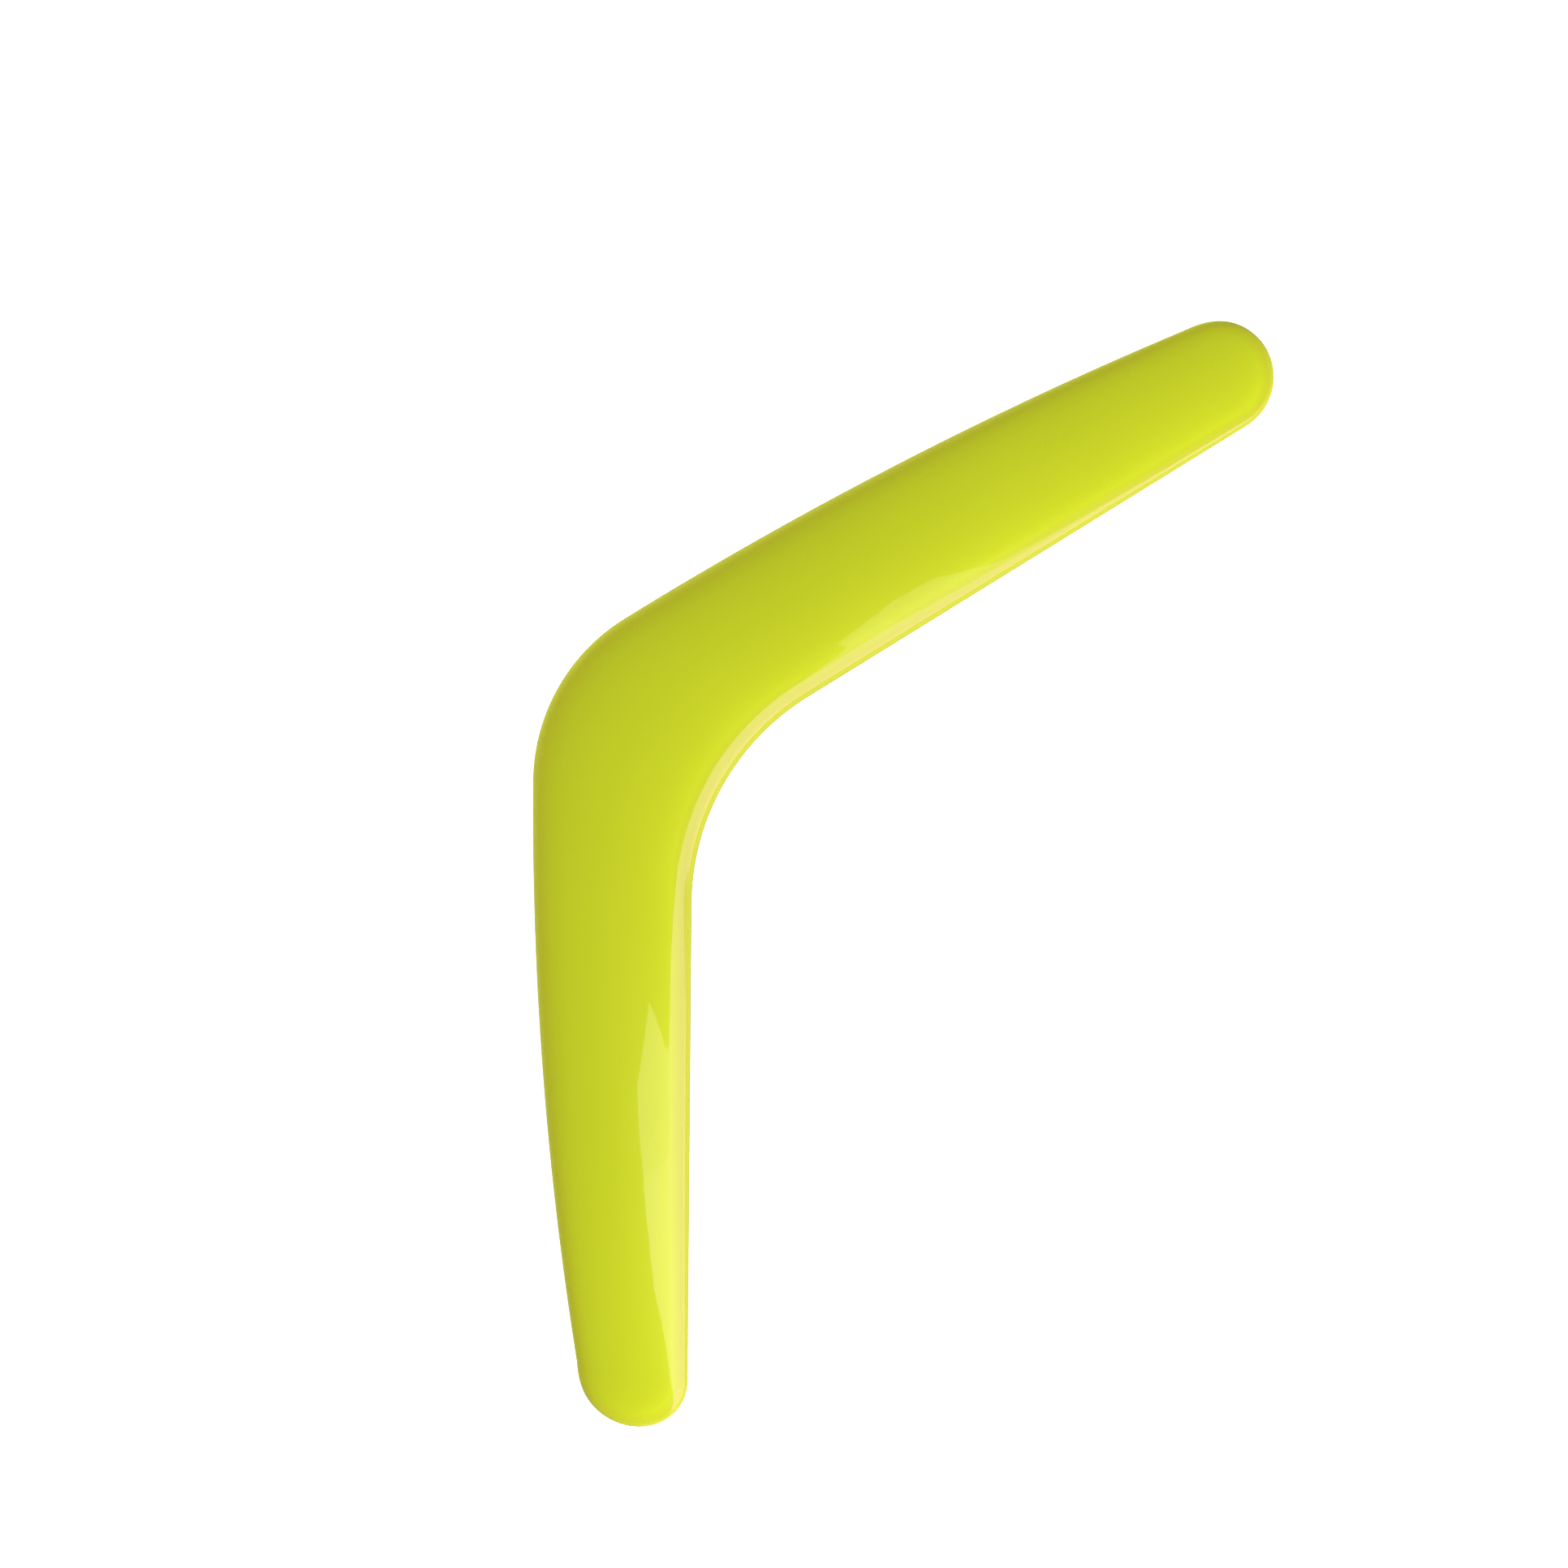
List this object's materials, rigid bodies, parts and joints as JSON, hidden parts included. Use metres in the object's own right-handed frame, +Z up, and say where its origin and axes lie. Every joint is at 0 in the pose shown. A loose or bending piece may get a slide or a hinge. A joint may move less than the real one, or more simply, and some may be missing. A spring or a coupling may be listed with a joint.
{
  "type": "boomerang",
  "caption": "Crowned plywood boomerang with a wide elbow, tapering arms and round tips, under a gloss lime lacquer.",
  "frame": {"origin": "under the middle of the outline's box, on the surface that the flat underside rests on", "axes": "+X runs from tip to tip, towards the longer arm, +Y points to the elbow, +Z is up through the crowned face"},
  "size_m": [0.3798, 0.141, 0.0092],
  "materials": {
    "lime_lacquer": "opaque lime lacquer, sprayed and cured to a high gloss",
    "birch_long_grain": "sanded birch veneer, grain from tip to tip",
    "birch_cross_grain": "sanded birch veneer, grain across the board"
  },
  "bodies": {
    "root": {"gloss_coat_upper": "lime_lacquer", "gloss_coat_lower": "lime_lacquer", "ply_1_lower_face": "birch_long_grain", "ply_2_cross": "birch_cross_grain", "ply_3_long": "birch_long_grain", "ply_4_cross_core": "birch_cross_grain", "ply_5_long": "birch_long_grain", "ply_6_cross": "birch_cross_grain", "ply_7_upper_face": "birch_long_grain"}
  },
  "joints": []
}
